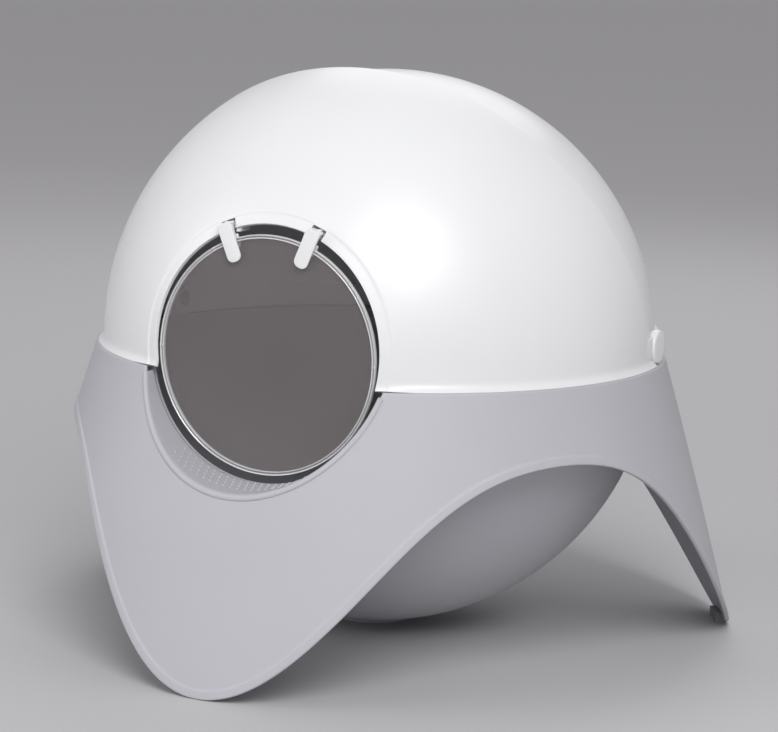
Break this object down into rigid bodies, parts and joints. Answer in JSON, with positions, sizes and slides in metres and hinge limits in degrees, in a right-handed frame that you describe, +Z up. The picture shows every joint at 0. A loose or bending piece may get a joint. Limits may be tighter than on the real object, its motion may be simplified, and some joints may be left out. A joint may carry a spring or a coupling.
{
  "type": "hooded cat litter box",
  "caption": "Round covered cat litter box: spherical bowl in a three-legged skirt, rear hood, front visor on side pins and a round clear swing door.",
  "frame": {"origin": "on the floor under the centre of the bowl, in the middle of its flat foot", "axes": "+Z up, the entry faces -Y, +X is to the right of someone who stands in front and looks at the entry"},
  "size_m": [0.6173, 0.6086, 0.5066],
  "materials": {
    "white_shell": "satin white moulded plastic",
    "white_trim": "satin white moulded plastic, small parts",
    "grey_shell": "fine matte light grey moulded plastic",
    "clear_sheet": "clear polished acrylic sheet",
    "clear_trim": "clear flexible edge strip",
    "rubber_pad": "matte non-slip pad",
    "steel_pin": "drawn steel pin"
  },
  "bodies": {
    "base": {"litter_bowl": "grey_shell", "skirt_base": "grey_shell", "entry_liner": "grey_shell", "foot_pad_front": "rubber_pad", "foot_pad_right": "rubber_pad", "foot_pad_left": "rubber_pad", "hood_rear": "white_shell", "hinge_bush_left": "white_trim", "hinge_bush_right": "white_trim", "hinge_pin_left": "steel_pin", "hinge_pin_right": "steel_pin"},
    "visor": {"hood_front": "white_shell", "clip_bracket_left": "white_trim", "clip_bracket_right": "white_trim", "clip_pin_left": "steel_pin", "clip_pin_right": "steel_pin"},
    "door": {"door_disc": "clear_sheet", "door_edge_trim": "clear_trim", "door_clip_left": "white_trim", "door_clip_right": "white_trim"}
  },
  "joints": [
    {"name": "hood_open", "type": "hinge", "parent": "base", "child": "visor", "pos_m": [0, 0.044, 0.2695], "axis": [-1, 0, 0], "range_deg": [0, 40]},
    {"name": "door_swing", "type": "hinge", "parent": "visor", "child": "door", "pos_m": [0, -0.218, 0.37739], "axis": [1, 0, 0], "range_deg": [-60, 60]}
  ]
}
